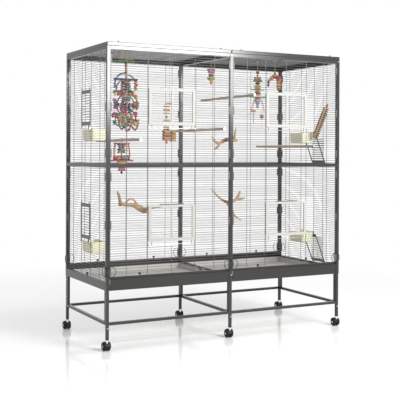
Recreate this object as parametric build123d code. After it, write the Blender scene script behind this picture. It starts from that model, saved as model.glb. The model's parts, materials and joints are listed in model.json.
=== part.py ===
from build123d import *

import math
import os

# Rolling bird aviary: a two-bay wire cage on a tube stand with six casters.
# Millimetres. X runs along the front, Y towards the back, Z up. The origin is on
# the floor under the middle of the cage.

# Cage
bay_pitch = 785.0
cage_depth = 685.0
overall_height = 1720.0
tube = 20.0
tube_wall = 1.5
mid_rail_bottom = 1019.0
base_bottom = 336.0
roof_frame_height = 22.0
roof_frame_width = 20.0
roof_frame_gap = 4.0

# Base and drawers
base_rail_height = 46.0
sill_bottom = 396.0
sill_height = 15.0
sill_depth = 10.0
fascia_height = 62.0
fascia_sheet = 1.5
fascia_lip = 9.0
drawer_side_gap = 3.0
pan_height = 34.0
pan_sheet = 1.5
ledge_width = 10.0
ledge_sheet = 2.0
ledge_rise = 0.5
drawer_play = 0.3

# Stand
leg_clearance = 0.5
leg_wall = 1.2
stretcher_bottom = 144.0
leg_overlap = 60.0

# Casters
caster_height = 62.0
wheel_radius = 25.0
wheel_width = 19.0
fork_web = 8.0
wheel_gap = 0.5
caster_trail = 13.0
axle_radius = 1.6
hood_clearance = 1.0
hood_wall = 1.6
stem_radius = 5.0
socket_height = 5.0

# Wire panels
mesh_inset = 6.0
wire_pitch = 14.0
wire_gauge = 2.0
upright_gauge = 3.0
edge_margin = 4.5
bay_uprights = (-280.0, -150.0, 0.0, 150.0, 280.0)
side_uprights = (-217.0, -75.0, 75.0, 217.0)
roof_uprights = (-188.0, 0.0, 188.0)

# Doors in the front panels
opening_shift = {"lower": -7.5, "upper": 7.5}
door_height = 208.0
door_thickness = 8.0
door_stile = 18.0
door_top_bar = 12.0
door_bottom_bar = 17.0
door_centre_bar = 12.0
door_play = 1.5
mesh_clearance = 0.4
latch_length = 155.0
latch_height = 6.0
latch_depth = 5.0

# Hatches in the side panels
hatch_thickness = 5.0
hatch_stile = 7.0
hatch_plate = 22.0
hatch_ear_width = 9.0
hatch_ear_height = 12.0
hatch_open_angle = 158.0

# Hinges of doors and hatches
hinge_drop = 18.0
hinge_stand_off = 6.0
hinge_rod_radius = 1.5
hinge_play = 0.1
hinge_lug_size = 6.4
hinge_eye_width = 6.0
door_eye_inset = 20.0
hatch_eye_inset = 16.0
bracket_thickness = 3.0
bracket_height = 9.0

# Bowls
bowl_length = 160.0
bowl_reach = 92.0
bowl_depth = 68.0
bowl_wall = 2.5
bowl_corner = 14.0
bowl_taper = 4.0
bowl_hook_rise = 14.0
bowl_hook_spread = 30.0
bowl_hook_width = 14.0
bowl_hook_sheet = 1.5

# Fittings
clip_width = 14.0
clip_height = 48.0
clip_plate = 3.0
clip_spine = 1.8
clip_spine_depth = 13.0
clip_end_distance = 50.0
clip_foot_distance = 60.0
clip_foot_drop = 2.0
knob_radius = 9.0
knob_height = 12.0
knob_neck = 6.0
knob_neck_radius = 3.0
knob_spread = 195.0
knob_roof_inset = 70.0
bolt_radius = 5.0
bolt_head = 3.0
plug_length = 25.0
ring_radius = 25.0
ring_stock = 3.0
ring_offset = 17.0
plug_clearance = 0.1

# Perches and what hangs in the cage
perch_radius = 8.0
perch_places = ((-590.0, 500.0), (-48.0, 437.0), (160.0, 223.0), (600.0, 524.0))
washer_radius = 9.0
tube_roll_radius = 20.0
tube_roll_foot = 472.0
tube_roll_head = 276.0

leg_tube = tube - 2 * tube_wall - 2 * leg_clearance
half_width = bay_pitch + tube / 2
half_depth = cage_depth / 2
roof_bottom = overall_height - roof_frame_height
top_rail_bottom = roof_bottom - tube
mid_rail_top = mid_rail_bottom + tube
panel_tops = {"lower": mid_rail_bottom, "upper": top_rail_bottom}
base_rail_top = base_bottom + base_rail_height
fascia_top = base_bottom + fascia_height
sill_top = sill_bottom + sill_height
stretcher_top = stretcher_bottom + leg_tube
front_panels = {
    "lower": (fascia_top, mid_rail_bottom),
    "upper": (mid_rail_top, top_rail_bottom),
}
opening_levels = {
    level: (low + high - door_height) / 2 + opening_shift[level]
    for level, (low, high) in front_panels.items()
}
post_columns = (-bay_pitch, 0.0, bay_pitch)
post_rows = (-half_depth + tube / 2, half_depth - tube / 2)
bay_centres = (-bay_pitch / 2, bay_pitch / 2)
bay_clear = bay_pitch - tube
side_clear = cage_depth - 2 * tube
leg_clear = bay_pitch - leg_tube
cross_clear = 2 * (post_rows[1] - leg_tube / 2)
upright_depth = upright_gauge * 1.1665


def block(x, y, z):
    """A box given by its low and high values on each axis."""
    size = (x[1] - x[0], y[1] - y[0], z[1] - z[0])
    return Pos((x[0] + x[1]) / 2, (y[0] + y[1]) / 2, (z[0] + z[1]) / 2) * Box(*size)


def centred(middle, size):
    return (middle - size / 2, middle + size / 2)


def bar(radius, length, sides=12):
    """A small round bar on Z, centred, with flats instead of a true circle.

    The cage has about a thousand wires, so its other round details are kept light too.
    """
    return extrude(RegularPolygon(radius, sides), amount=length / 2, both=True)


def bore(radius, length, sides=12):
    """The hole for a round bar of that radius, its flats clear of the circle."""
    return bar(radius / math.cos(math.pi / sides), length, sides)


def tube_along(axis, x, y, z, wall):
    """A rectangular tube open at both ends of the named axis."""
    spans = {"x": x, "y": y, "z": z}
    inner = {}
    for name, (low, high) in spans.items():
        grow = 1.0 if name == axis else -wall
        inner[name] = (low - grow, high + grow)
    return block(x, y, z) - block(inner["x"], inner["y"], inner["z"])


def wire(start, end, gauge, facing):
    """One straight wire in a panel's own plane, flat on the weld plane at z = 0.

    The section has three sides and the area of the round wire: the aviary has more
    than nine hundred of them. facing is 1 for a wire outside the weld plane, -1 inside.
    """
    side = gauge * math.sqrt(math.pi / math.sqrt(3))
    rise = side * math.sqrt(3) / 2
    length = math.dist(start, end)
    section = Plane.YZ * Polygon((-side / 2, 0), (side / 2, 0), (0, rise), align=None)
    prism = extrude(section, amount=length / 2, both=True)
    turn = math.degrees(math.atan2(end[1] - start[1], end[0] - start[0]))
    flip = Rot(180, 0, 0) if facing < 0 else Rot(0, 0, 0)
    middle = Pos((start[0] + end[0]) / 2, (start[1] + end[1]) / 2, 0)
    return middle * Rot(0, 0, turn) * flip * prism


def rows_between(bottom, top):
    """Heights of the horizontal wires, counted down from the rail above."""
    first = top - edge_margin
    count = int((first - bottom - 2.0) // wire_pitch) + 1
    return [first - i * wire_pitch for i in range(count)]


def grille(half_clear, bottom, top, uprights, opening=None):
    """A welded panel: close horizontals outside, a few heavier uprights inside.

    opening is (half width, low, high) of the hole that a door or a hatch covers.
    """
    edge = half_clear - edge_margin
    reach = half_clear - edge_margin + upright_gauge * 0.67
    rows = rows_between(bottom, top)
    bars = []
    for height in rows:
        if opening and opening[1] < height < opening[2]:
            bars.append(wire((-reach, height), (-opening[0], height), wire_gauge, 1))
            bars.append(wire((opening[0], height), (reach, height), wire_gauge, 1))
        else:
            bars.append(wire((-reach, height), (reach, height), wire_gauge, 1))
    for across in (-edge, *uprights, edge):
        if opening and abs(across) < opening[0] - upright_gauge:
            below = max(row for row in rows if row <= opening[1]) + wire_gauge
            above = min(row for row in rows if row >= opening[2]) - wire_gauge
            bars.append(wire((across, bottom), (across, below), upright_gauge, -1))
            bars.append(wire((across, above), (across, top), upright_gauge, -1))
        else:
            bars.append(wire((across, bottom), (across, top), upright_gauge, -1))
    return bars


def wall_plane(side, middle=0.0):
    """The weld plane of a wall seen from outside: local x right, local y up."""
    across = half_width - mesh_inset
    along = half_depth - mesh_inset
    places = {
        "front": ((middle, -along, 0), (1, 0, 0), (0, -1, 0)),
        "back": ((middle, along, 0), (-1, 0, 0), (0, 1, 0)),
        "left": ((-across, 0, 0), (0, -1, 0), (-1, 0, 0)),
        "right": ((across, 0, 0), (0, 1, 0), (1, 0, 0)),
    }
    origin, x_dir, z_dir = places[side]
    return Plane(origin=origin, x_dir=x_dir, z_dir=z_dir)


def placed(plane, solids):
    return [plane * solid for solid in solids]


def hinge_eye(across, sill, thickness):
    """The square lug that carries a door or hatch on its bar, below the bottom edge."""
    axis = sill - hinge_drop
    reach = hinge_lug_size / 2
    hole = 2 * (hinge_rod_radius + hinge_play)
    high = max(hinge_stand_off + reach, mesh_clearance + thickness)
    lug = block(
        centred(across, hinge_eye_width), (axis - reach, sill), (hinge_stand_off - reach, high)
    )
    return lug - block(
        centred(across, hinge_eye_width + 2), centred(axis, hole), centred(hinge_stand_off, hole)
    )


def front_door(sill):
    """A moulded frame with a centre bar, its infill wires and its latch bar."""
    half = bay_uprights[3] - door_play
    back = mesh_clearance
    front = back + door_thickness
    top = sill + door_height
    opening_low = sill + door_bottom_bar
    opening_high = top - door_top_bar
    inner = half - door_stile
    frame = block((-half, half), (sill, top), (back, front))
    frame -= block((-inner, inner), (opening_low, opening_high), (back - 1, front + 1))
    bar_back = back + wire_gauge * 1.25
    frame += block(centred(0, door_centre_bar), (opening_low, opening_high), (bar_back, front))
    corner_edges = [
        edge
        for edge in frame.edges().filter_by(Axis.Z)
        if abs(abs(edge.center().X) - half) < 0.1
    ]
    frame = chamfer(corner_edges, 5)
    for side in (-1, 1):
        frame += hinge_eye(side * (half - door_eye_inset), sill, door_thickness)
    pieces = [frame]
    for height in rows_between(opening_low, opening_high):
        infill = wire((-inner, height), (inner, height), wire_gauge, 1)
        pieces.append(Pos(0, 0, back) * infill)
    pieces.append(
        block(centred(0, latch_length), (top, top + latch_height), (front - latch_depth, front))
    )
    return pieces


def side_hatch(sill):
    """A flap with a plate at each end, rungs between, ears above and eyes below."""
    half = side_uprights[2] - door_play
    back = mesh_clearance
    front = back + hatch_thickness
    top = sill + door_height
    low = sill + hatch_plate
    high = top - hatch_plate
    inner = half - hatch_stile
    frame = block((-half, half), (sill, top), (back, front))
    frame -= block((-inner, inner), (low, high), (back - 1, front + 1))
    for side in (-1, 1):
        ear = block(
            centred(side * (half - hatch_ear_width), hatch_ear_width),
            (top, top + hatch_ear_height),
            (front - 2, front),
        )
        frame += ear
        frame += hinge_eye(side * (half - hatch_eye_inset), sill, hatch_thickness)
    pieces = [frame]
    for height in rows_between(low, high):
        rung = wire((-inner, height), (inner, height), wire_gauge, 1)
        pieces.append(Pos(0, 0, back + 1) * rung)
    return pieces


def opened(pieces, sill, angle):
    """Swings a door or hatch outwards and down about its rod."""
    pin = Pos(0, sill - hinge_drop, hinge_stand_off)
    turn = pin * Rot(angle, 0, 0) * pin.inverse()
    return [turn * piece for piece in pieces]


def hinge_bar(opening_half, sill):
    """A rod across the opening, welded to a small plate on each upright beside it."""
    axis = sill - hinge_drop
    outer = opening_half - 0.1
    inner = outer - bracket_thickness
    rod = Pos(0, axis, hinge_stand_off) * Rot(0, 90, 0) * Cylinder(hinge_rod_radius, 2 * inner)
    plates = [
        block(
            sorted((side * inner, side * outer)),
            centred(axis, bracket_height),
            (0, hinge_stand_off + hinge_rod_radius + 1.5),
        )
        for side in (-1, 1)
    ]
    return [rod, *plates]


def hang_row(panel_top, sill):
    """The highest horizontal wire left whole under a hatch: the bowl hangs on it."""
    opening_foot = wall_opening(0.0, sill, 0.0)[1]
    return max(row for row in rows_between(base_bottom, panel_top) if row <= opening_foot)


def tapered_tub(length, reach, depth, corner, top):
    """A block with clipped corners, upright on its rim plane and narrower at its foot."""
    rim = chamfer(Rectangle(length, reach).vertices(), corner)
    lean = math.degrees(math.atan2(bowl_taper, bowl_depth))
    tub = extrude(rim, amount=depth, taper=lean)
    return Pos(0, top, 0) * Rot(90, 0, 0) * tub


def side_bowl(row):
    """A tapered tub that hangs inside the wall, hooked over one wire. Local z is outwards."""
    against = -(upright_depth + mesh_clearance)
    rim = row + bowl_hook_rise
    tub = tapered_tub(bowl_length, bowl_reach, bowl_depth, bowl_corner, rim)
    tub -= tapered_tub(
        bowl_length - 2 * bowl_wall,
        bowl_reach - 2 * bowl_wall,
        bowl_depth - bowl_wall,
        bowl_corner - bowl_wall / 2,
        rim,
    )
    tub = Pos(0, 0, against - bowl_reach / 2) * tub
    shelf = row + wire_gauge
    outer = wire_gauge * 1.1665 + 0.3 + bowl_hook_sheet
    for side in (-1, 1):
        u = centred(side * bowl_hook_spread, bowl_hook_width)
        tub += block(u, (shelf, shelf + bowl_hook_sheet), (against - bowl_wall / 2, outer))
        tub += block(u, (row - 5.0, shelf + bowl_hook_sheet), (outer - bowl_hook_sheet, outer))
    return [tub]


def caster_fork():
    """The swivelling part: a web between the wheels, a hood over them, an axle and a stem.

    It is drawn at the origin, swivel axis on Z, wheels trailing towards +Y.
    """
    hub = Pos(0, caster_trail, wheel_radius) * Rot(0, 90, 0)
    width = fork_web + 2 * (wheel_gap + wheel_width)
    room = wheel_radius + hood_clearance
    hood = hub * (bar(room + hood_wall, width, 16) - bar(room, width + 2, 16))
    hood &= block((-100, 100), (-100, caster_trail + 22), (wheel_radius + 8, 200))
    web = hub * bar(room + hood_wall / 2, fork_web, 16)
    web &= block((-100, 100), (-100, 200), (wheel_radius - 5, 200))
    neck_top = caster_height - socket_height - 0.3
    collar_foot = wheel_radius + 12
    collar = block(centred(0, fork_web), (-8, 8), (collar_foot, neck_top))
    stem = Pos(0, 0, neck_top + 10) * Cylinder(stem_radius, 20)
    axle = hub * Cylinder(axle_radius, width)
    return hood + web + collar + stem + axle


def caster_wheels():
    """Two wheels on the axle, one each side of the fork's web."""
    inner = fork_web / 2 + wheel_gap
    wheel = bar(wheel_radius, wheel_width, 24) - bore(axle_radius + 0.05, wheel_width + 2, 8)
    hub = Rot(0, 90, 0) * wheel
    return [
        Pos(side * (inner + wheel_width / 2), caster_trail, wheel_radius) * hub
        for side in (-1, 1)
    ]


def posts(row):
    y = centred(post_rows[row], tube)
    return [
        tube_along("z", centred(column, tube), y, (base_bottom, roof_bottom), tube_wall)
        for column in post_columns
    ]


def level_rails(bottom, height, with_middle):
    """Rails between the posts at one level: two in front, two behind, one a side."""
    z = (bottom, bottom + height)
    rails = []
    for row in post_rows:
        for middle in bay_centres:
            rails.append(
                tube_along("x", centred(middle, bay_clear), centred(row, tube), z, tube_wall)
            )
    columns = post_columns if with_middle else (post_columns[0], post_columns[2])
    for column in columns:
        rails.append(
            tube_along("y", centred(column, tube), centred(0, side_clear), z, tube_wall)
        )
    return rails


def rail_plugs():
    """Plugs inside both ends of every rail of the cage."""
    inside = tube - 2 * tube_wall - 2 * plug_clearance
    plugs = []
    for bottom, middle_too in ((top_rail_bottom, True), (mid_rail_bottom, False)):
        z = centred(bottom + tube / 2, inside)
        for row in post_rows:
            for middle in bay_centres:
                for side in (-1, 1):
                    near = middle + side * (bay_clear - plug_length) / 2
                    plugs.append(block(centred(near, plug_length), centred(row, inside), z))
        columns = post_columns if middle_too else (post_columns[0], post_columns[2])
        for column in columns:
            for side in (-1, 1):
                near = side * (side_clear - plug_length) / 2
                plugs.append(block(centred(column, inside), centred(near, plug_length), z))
    return plugs


def base_rails():
    """Deep rails at both sides and across the middle, with ledges that carry the drawers."""
    rails = []
    for column in post_columns:
        z = (base_bottom, base_rail_top)
        rails.append(
            tube_along("y", centred(column, tube), centred(0, side_clear), z, tube_wall)
        )
        for side in (-1, 1):
            edge = column + side * tube / 2
            if abs(edge) < bay_pitch:
                reach = sorted((edge, edge + side * ledge_width))
                z = (base_bottom + ledge_rise, base_bottom + ledge_rise + ledge_sheet)
                rails.append(block(reach, centred(0, side_clear - tube), z))
    return rails


def sills():
    """A flat bar across each bay, just inside the wires, at front and back."""
    outer = half_depth - mesh_inset - upright_depth
    bars = []
    for side in (-1, 1):
        y = sorted((side * outer, side * (outer - sill_depth)))
        for middle in bay_centres:
            bars.append(block(centred(middle, bay_clear), y, (sill_bottom, sill_top)))
    return bars


def fascia(length, side):
    """A folded sheet: upright face with a lip turned inwards along its foot."""
    outer = half_depth * side
    face = sorted((outer, outer - side * fascia_sheet))
    lip = sorted((outer, outer - side * fascia_lip))
    sheet = block(centred(0, length), face, (base_bottom, fascia_top))
    return sheet + block(centred(0, length), lip, (base_bottom, base_bottom + fascia_sheet))


def back_fascias():
    return [Pos(middle, 0, 0) * fascia(bay_clear, 1) for middle in bay_centres]


def drawer(middle):
    """A pan on a fascia front, which slides out under the front panel."""
    length = bay_clear - 2 * drawer_side_gap
    front = fascia(length, -1)
    y = (-half_depth + fascia_sheet, half_depth - fascia_lip - 6)
    foot = base_bottom + ledge_rise + ledge_sheet + drawer_play
    z = (foot, foot + pan_height)
    pan = block(centred(0, length), y, z)
    pan -= block(
        centred(0, length - 2 * pan_sheet),
        (y[0] + pan_sheet, y[1] - pan_sheet),
        (z[0] + pan_sheet, z[1] + 1),
    )
    return [Pos(middle, 0, 0) * (front + pan)]


def stand_legs():
    top = base_bottom + leg_overlap
    return [
        tube_along(
            "z", centred(column, leg_tube), centred(row, leg_tube), (caster_height, top), leg_wall
        )
        for row in post_rows
        for column in post_columns
    ]


def stand_struts():
    """A short post behind each leg, from the stretcher up to the base rail."""
    struts = []
    for column in post_columns:
        for side in (-1, 1):
            y = sorted((side * cross_clear / 2, side * (cross_clear / 2 - leg_tube)))
            z = (stretcher_top, base_bottom)
            struts.append(tube_along("z", centred(column, leg_tube), y, z, leg_wall))
    return struts


def stand_stretchers():
    z = (stretcher_bottom, stretcher_top)
    bars = []
    for row in post_rows:
        for middle in bay_centres:
            bars.append(
                tube_along("x", centred(middle, leg_clear), centred(row, leg_tube), z, leg_wall)
            )
    for column in post_columns:
        bars.append(
            tube_along("y", centred(column, leg_tube), centred(0, cross_clear), z, leg_wall)
        )
    return bars


def roof_frames():
    frames = []
    for side in (-1, 1):
        x = sorted((side * roof_frame_gap / 2, side * half_width))
        inner_x = (x[0] + roof_frame_width, x[1] - roof_frame_width)
        inner_y = centred(0, cage_depth - 2 * roof_frame_width)
        outer = block(x, centred(0, cage_depth), (roof_bottom, overall_height))
        frames.append(outer - block(inner_x, inner_y, (roof_bottom - 1, overall_height + 1)))
    return frames


def roof_grilles():
    length = half_width - roof_frame_gap / 2 - 2 * roof_frame_width
    reach = cage_depth / 2 - roof_frame_width
    middle = (half_width + roof_frame_gap / 2) / 2
    weld = roof_bottom + roof_frame_height / 2
    bars = []
    for side in (-1, 1):
        sheet = [
            wire((-length / 2, across), (length / 2, across), wire_gauge, 1)
            for across in rows_between(-reach, reach)
        ]
        sheet += [
            wire((along, -reach), (along, reach), upright_gauge, -1) for along in roof_uprights
        ]
        bars += [Pos(side * middle, 0, weld) * piece for piece in sheet]
    return bars


def wall_opening(upright, sill, above):
    """The hole in a wall panel: from under the hinge up to clear of what is on top."""
    foot = sill - hinge_drop - bracket_height / 2 - wire_gauge
    return (upright - 1.0, foot, sill + door_height + above + wire_gauge)


def wall_grilles():
    """Each wall's panels: front and back in two bays, the sides in one."""
    side_levels = {"upper": front_panels["upper"], "lower": (base_rail_top, mid_rail_bottom)}
    walls = {}
    for level, (low, high) in front_panels.items():
        sill = opening_levels[level]
        hole = wall_opening(bay_uprights[3], sill, latch_height)
        front = []
        back = []
        for middle in bay_centres:
            sheet = grille(bay_clear / 2, low, high, bay_uprights, hole)
            front += placed(wall_plane("front", middle), sheet)
            plain = grille(bay_clear / 2, low, high, bay_uprights)
            back += placed(wall_plane("back", middle), plain)
        walls[f"grille_front_{level}"] = front
        walls[f"grille_back_{level}"] = back
    for side in ("left", "right"):
        bars = []
        for level, (low, high) in side_levels.items():
            hole = wall_opening(side_uprights[2], opening_levels[level], 0.0)
            bars += placed(wall_plane(side), grille(side_clear / 2, low, high, side_uprights, hole))
        walls[f"grille_{side}"] = bars
    return walls


def clip_heights():
    heights = []
    spans = ((mid_rail_top, top_rail_bottom), (base_rail_top - clip_foot_drop, mid_rail_bottom))
    for low, high in spans:
        heights += [low + clip_foot_distance, (low + high) / 2, high - clip_end_distance]
    return heights


def clip_bays():
    """Every panel edge's wall, bay centre and half width."""
    bays = [("front", middle, bay_clear / 2) for middle in bay_centres]
    bays += [("back", middle, bay_clear / 2) for middle in bay_centres]
    return bays + [("left", 0.0, side_clear / 2), ("right", 0.0, side_clear / 2)]


def panel_clips():
    """Clips on the posts: a plate outside the wires and a spine against the post."""
    outer = mesh_inset
    solids = []
    for side, middle, half in clip_bays():
        for end in (-1, 1):
            for height in clip_heights():
                v = centred(height, clip_height)
                plate_u = sorted((end * half, end * (half - clip_width)))
                spine_u = sorted((end * half, end * (half - clip_spine)))
                plate = block(plate_u, v, (outer - clip_plate, outer))
                spine = block(spine_u, v, (outer - clip_spine_depth, outer))
                solids.append(wall_plane(side, middle) * (plate + spine))
    return solids


def thumb_screw():
    """A screw with a large knob on a neck, drawn standing on z = 0."""
    neck = extrude(RegularPolygon(knob_neck_radius, 6), amount=knob_neck)
    head = Pos(0, 0, knob_neck) * extrude(RegularPolygon(knob_radius, 6), amount=knob_height)
    return neck + head


def thumb_screws():
    solids = []
    out = half_depth - mesh_inset - upright_depth - sill_depth / 2
    for side in (-1, 1):
        for middle in bay_centres:
            for spread in (-knob_spread, knob_spread):
                solids.append(Pos(middle + spread, side * out, sill_top) * thumb_screw())
        beside = side * (half_width - tube + knob_neck_radius + 1)
        solids.append(Pos(beside, 0, base_rail_top) * thumb_screw())
        row = side * (half_depth - roof_frame_width / 2)
        for column in (-1, 1):
            for inset in (knob_roof_inset, half_width - knob_roof_inset):
                solids.append(Pos(column * inset, row, overall_height) * Rot(0, 0, 30) * thumb_screw())
    return solids


def bolt_head_solid():
    """Hexagon head of a frame bolt, drawn standing on z = 0."""
    return extrude(RegularPolygon(bolt_radius, 6), amount=bolt_head)


def frame_bolts():
    """Heads on the posts and legs at front and back, and on the struts at the sides."""
    heads = []
    for side in (-1, 1):
        outward = Rot(90, 0, 0) if side < 0 else Rot(-90, 0, 0)
        for column in post_columns:
            for height in (top_rail_bottom + tube / 2, fascia_top - 22.0):
                if height > fascia_top or column == 0.0:
                    spot = Pos(column, side * half_depth, height)
                    heads.append(spot * outward * bolt_head_solid())
            spot = Pos(column, side * (post_rows[1] + leg_tube / 2), stretcher_bottom - 16.0)
            heads.append(spot * outward * bolt_head_solid())
    strut_middle = cross_clear / 2 - leg_tube / 2
    for column in (post_columns[0], post_columns[2]):
        side = math.copysign(1, column)
        for row in (-strut_middle, strut_middle):
            for height in (base_bottom - 23.0, stretcher_top + 47.0):
                spot = Pos(column + side * leg_tube / 2, row, height)
                heads.append(spot * Rot(0, side * 90, 0) * bolt_head_solid())
    return heads


def clip_rings():
    """A ring of heavy wire on the face of each lowest clip and its post."""
    height = clip_heights()[3]
    outer = extrude(RegularPolygon(ring_radius, 8), amount=ring_stock)
    ring = outer - extrude(RegularPolygon(ring_radius - ring_stock, 8), amount=ring_stock)
    rings = []
    for side, middle, half in clip_bays():
        for end in (-1, 1):
            across = end * (half + tube / 2 - ring_offset)
            rings.append(wall_plane(side, middle) * (Pos(across, height, mesh_inset) * ring))
    return rings


def perch_heights():
    """Each dowel's height: the gap between two wires nearest to its drop from the top rail."""
    first = edge_margin + wire_pitch / 2
    return [
        (x, top_rail_bottom - first - wire_pitch * round((drop - first) / wire_pitch))
        for x, drop in perch_places
    ]


def perches():
    """Dowels from the front wires to the back wires."""
    length = 2 * (half_depth - mesh_inset)
    return [
        Pos(x, 0, height) * Rot(90, 0, 0) * Cylinder(perch_radius, length)
        for x, height in perch_heights()
    ]


def perch_screws():
    """A screw and nut outside the wires at each end of each dowel."""
    weld = half_depth - mesh_inset
    wires_out = wire_gauge * 1.1665
    solids = []
    for x, height in perch_heights():
        for side in (-1, 1):
            outward = Rot(90, 0, 0) if side < 0 else Rot(-90, 0, 0)
            shank = Pos(0, 0, wires_out / 2) * Box(4, 4, wires_out)
            nut = Pos(0, 0, wires_out) * extrude(RegularPolygon(washer_radius, 6), amount=5.0)
            solids.append(Pos(x, side * weld, height) * outward * (shank + nut))
    return solids


def limb(points, radii):
    """A five-sided limb that thins from point to point."""
    solid = None
    last = len(points) - 2
    for i in range(last + 1):
        start = Vector(*points[i])
        run = Vector(*points[i + 1]) - start
        radius = (radii[i] + radii[i + 1]) / 2
        plane = Plane(origin=start, x_dir=run.cross(Vector(0.3, 1, 0.2)), z_dir=run)
        length = run.length + (0.4 * radius if i < last else 0.0)
        piece = extrude(plane * RegularPolygon(radius, 5), amount=length)
        solid = piece if solid is None else solid + piece
    return solid


def branches():
    """Natural branches: one screwed to the front wires, two to the middle post."""
    y = -half_depth + 60.0
    wires = -half_depth + mesh_inset
    post = -half_depth + tube
    low_left = limb([(-695, wires, 812), (-695, y, 812)], (11, 12))
    low_left += limb(
        [(-706, y, 884), (-693, y, 858), (-688, y, 812), (-650, y, 806), (-600, y, 804),
         (-560, y, 783), (-520, y, 764)],
        (5, 9, 14, 12, 13, 20, 15),
    )
    low_left += limb([(-540, y, 778), (-490, y, 789), (-441, y, 793), (-392, y, 796)],
                     (11, 8, 7, 3))
    low_left += limb([(-660, y, 810), (-628, y, 845), (-606, y, 838), (-574, y, 792)],
                     (7, 6, 6, 8))
    middle_low = limb([(0, post, 805), (0, y, 805)], (8, 12))
    middle_low += limb(
        [(-103, y, 894), (-62, y, 846), (-12, y, 812), (40, y, 812), (92, y, 826), (138, y, 830)],
        (3, 6, 8, 10, 9, 3),
    )
    middle_low += limb([(62, y, 818), (84, y, 842), (96, y, 872)], (8, 9, 5))
    middle_low += limb([(2, y, 808), (40, y, 762), (52, y, 724), (108, y, 694)],
                       (10, 9, 7, 3))
    middle_high = limb([(0, post, 1184), (0, y, 1184)], (8, 12))
    middle_high += limb(
        [(-98, y, 1206), (-88, y, 1178), (-52, y, 1160), (-8, y, 1186), (44, y, 1178), (76, y, 1184)],
        (4, 6, 9, 14, 9, 12),
    )
    middle_high += limb([(-40, y, 1168), (-62, y, 1138), (-86, y, 1120)], (8, 8, 3))
    middle_high += limb([(52, y, 1180), (58, y, 1218), (66, y, 1264)], (8, 7, 3))
    return [low_left, middle_low, middle_high]


def woven_tube():
    """A closed roll of plaited grass hung aslant on the right wires, with its tip."""
    x = half_width - mesh_inset - upright_depth - tube_roll_radius - 0.4
    low = Vector(x, -118, top_rail_bottom - tube_roll_foot)
    high = Vector(x, -244, top_rail_bottom - tube_roll_head)
    ahead = (high - low).normalized()
    plane = Plane(origin=low, x_dir=(1, 0, 0), z_dir=ahead)
    roll = extrude(plane * RegularPolygon(tube_roll_radius, 12), amount=(high - low).length)
    tip_plane = Plane(origin=high, x_dir=(1, 0, 0), z_dir=ahead)
    tip = extrude(tip_plane * RegularPolygon(6.0, 6), amount=24.0)
    return [roll, tip]


def hanging(x, y, top, items):
    """Pieces strung below each other. Each item is (width, depth, height)."""
    solids = []
    z = top
    for width, depth, height in items:
        solids.append(block(centred(x, width), centred(y, depth), (z - height, z)))
        z -= height
    return solids


def roof_hook(x, y):
    """A loop round one roof wire; it returns the loop and the height of its foot."""
    weld = roof_bottom + roof_frame_height / 2
    top = weld + wire_gauge * 1.1665 + 0.9
    outer = block(centred(x, 2), centred(y, 9), (weld - 9, top + 1.6))
    inner = block(centred(x, 4), centred(y, 6), (weld - 7, top))
    return outer - inner, weld - 9


def nearest_roof_wire(wanted):
    rows = rows_between(-half_depth + roof_frame_width, half_depth - roof_frame_width)
    return min(rows, key=lambda row: abs(row - wanted))


def toy_block_tower():
    """The largest toy: bars and blocks strung in three strands."""
    x = -571
    y = nearest_roof_wire(-71)
    hook, top = roof_hook(x, y)
    solids = [hook]
    solids += hanging(x, y, top, [
        (2, 2, 34), (96, 12, 12), (2, 2, 6), (110, 12, 10), (16, 16, 24), (12, 12, 22), (14, 14, 28),
        (8, 8, 20), (150, 16, 12), (60, 26, 60), (110, 22, 30), (54, 30, 44), (120, 26, 24),
        (70, 22, 40), (96, 20, 46), (60, 24, 30),
    ])
    bar_foot = top - 34 - 12 - 6 - 10 - 24 - 22 - 28 - 20 - 12
    solids += hanging(x - 68, y, bar_foot, [
        (2, 2, 18), (20, 14, 30), (2, 2, 16), (24, 18, 26), (2, 2, 22), (20, 14, 60), (2, 2, 20),
        (34, 16, 30), (2, 2, 18), (20, 20, 24),
    ])
    solids += hanging(x + 66, y, bar_foot, [
        (18, 16, 60), (2, 2, 24), (16, 18, 22), (2, 2, 20), (36, 20, 44), (2, 2, 16), (24, 16, 30),
        (2, 2, 14), (40, 22, 24),
    ])
    return solids


def toy_block_drop():
    """Blocks and a long stick hung from the left dowel on a loop of their own."""
    x, height = perch_heights()[0]
    y = -62.0
    gap = perch_radius + 1.0
    outer = block(centred(x, 2 * gap + 6), centred(y, 3), (height - gap - 6, height + gap + 3))
    inner = block(centred(x, 2 * gap), centred(y, 5), (height - gap - 3, height + gap))
    solids = [outer - inner]
    top = height - gap - 6
    solids += hanging(x, y, top, [(100, 14, 8), (46, 26, 52), (10, 10, 14), (110, 24, 26),
                                  (150, 12, 10), (50, 20, 16), (2, 2, 12), (44, 26, 28), (14, 12, 20)])
    for side in (-1, 1):
        solids += hanging(x + side * 40, y, top - 8, [(4, 4, 48)])
    return solids


def toy_wood_stack():
    """Short sticks strung like a ladder above a block of logs."""
    x = -254
    y = nearest_roof_wire(-20)
    hook, top = roof_hook(x, y)
    solids = [hook]
    solids += hanging(x, y, top, [(2, 2, 290), (56, 14, 10)])
    solids += hanging(x - 20, y, top - 300, [
        (2, 2, 8), (44, 14, 9), (2, 2, 12), (44, 14, 9), (2, 2, 12), (44, 14, 9), (2, 2, 12),
        (12, 12, 12), (2, 2, 12), (44, 14, 9), (2, 2, 30), (30, 26, 10), (46, 30, 16), (48, 34, 60),
        (14, 12, 22),
    ])
    solids += hanging(x + 24, y, top - 300, [
        (2, 2, 8), (14, 14, 10), (2, 2, 12), (14, 14, 10), (2, 2, 12), (14, 14, 10), (2, 2, 46),
        (14, 14, 10), (2, 2, 40), (32, 32, 70),
    ])
    return solids


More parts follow.
